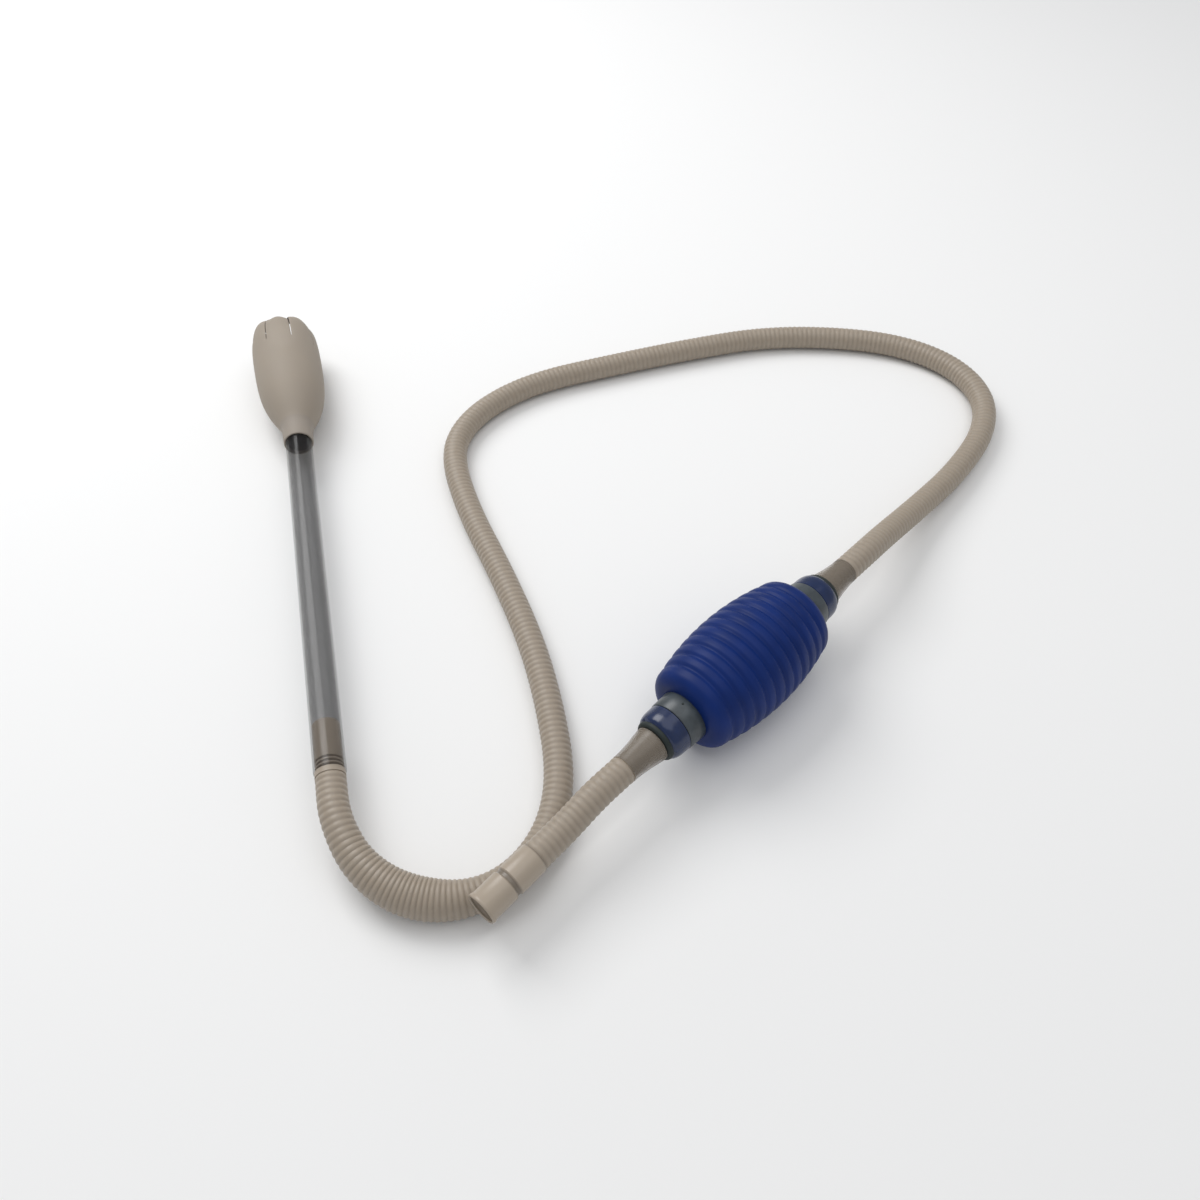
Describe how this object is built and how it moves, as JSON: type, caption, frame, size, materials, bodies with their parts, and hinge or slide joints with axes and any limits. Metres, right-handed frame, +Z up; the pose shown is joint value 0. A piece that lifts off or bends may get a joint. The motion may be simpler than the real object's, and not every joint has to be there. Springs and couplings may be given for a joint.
{
  "type": "gravel vacuum siphon",
  "caption": "Aquarium gravel siphon: a slotted strainer on a rigid wand, a ribbed squeeze bulb with one-way valves, and flexible hoses.",
  "frame": {"origin": "on the floor, under the middle of the rigid pieces' box (strainer, wand, bulb and its connectors)", "axes": "+Z up; +Y along the wand towards the strainer's mouth; +X towards the bulb's inlet end"},
  "size_m": [0.476, 0.4489, 0.0575],
  "materials": {
    "frosted_plastic": "satin",
    "clear_plastic": "gloss",
    "hose_vinyl": "satin",
    "bulb_vinyl": "satin",
    "collar_plastic": "gloss",
    "cap_plastic": "gloss",
    "gasket_rubber": "matte",
    "valve_plastic": "gloss",
    "flap_rubber": "matte"
  },
  "bodies": {
    "inlet_side": {"squeeze_bulb": "bulb_vinyl", "inlet_collar": "collar_plastic", "inlet_cap": "cap_plastic", "inlet_gasket": "gasket_rubber", "inlet_nozzle": "clear_plastic", "inlet_valve_seat": "valve_plastic", "inlet_hose_end": "hose_vinyl", "intake_hose": "hose_vinyl", "wand_cuff": "hose_vinyl"},
    "outlet_side": {"outlet_collar": "collar_plastic", "outlet_cap": "cap_plastic", "outlet_gasket": "gasket_rubber", "outlet_nozzle": "clear_plastic", "outlet_valve_seat": "valve_plastic", "outlet_hose_end": "hose_vinyl", "outlet_hose": "hose_vinyl", "outlet_cuff": "hose_vinyl"},
    "inlet_valve": {"inlet_flap": "flap_rubber"},
    "outlet_valve": {"outlet_flap": "flap_rubber"},
    "wand": {"wand_tube": "clear_plastic"},
    "strainer": {"strainer_guard": "frosted_plastic"}
  },
  "joints": [
    {"name": "bulb_squeeze", "type": "slide", "parent": "inlet_side", "child": "outlet_side", "axis": [0.8536, 0.521, 0], "range_m": [0, 0.022], "stiffness_N_per_m": 1200, "deforming": ["squeeze_bulb"]},
    {"name": "inlet_flap_swing", "type": "hinge", "parent": "inlet_side", "child": "inlet_valve", "pos_m": [0.12152, -0.12204, 0.03676], "axis": [-0.521, 0.8536, 0], "range_deg": [0, 60]},
    {"name": "outlet_flap_swing", "type": "hinge", "parent": "outlet_side", "child": "outlet_valve", "pos_m": [0.03873, -0.17258, 0.03676], "axis": [-0.521, 0.8536, 0], "range_deg": [0, 60]},
    {"name": "wand_pull", "type": "slide", "parent": "inlet_side", "child": "wand", "axis": [0, 1, 0], "range_m": [0, 0.028]},
    {"name": "strainer_pull", "type": "slide", "parent": "wand", "child": "strainer", "axis": [0, 1, 0], "range_m": [0, 0.021]}
  ]
}
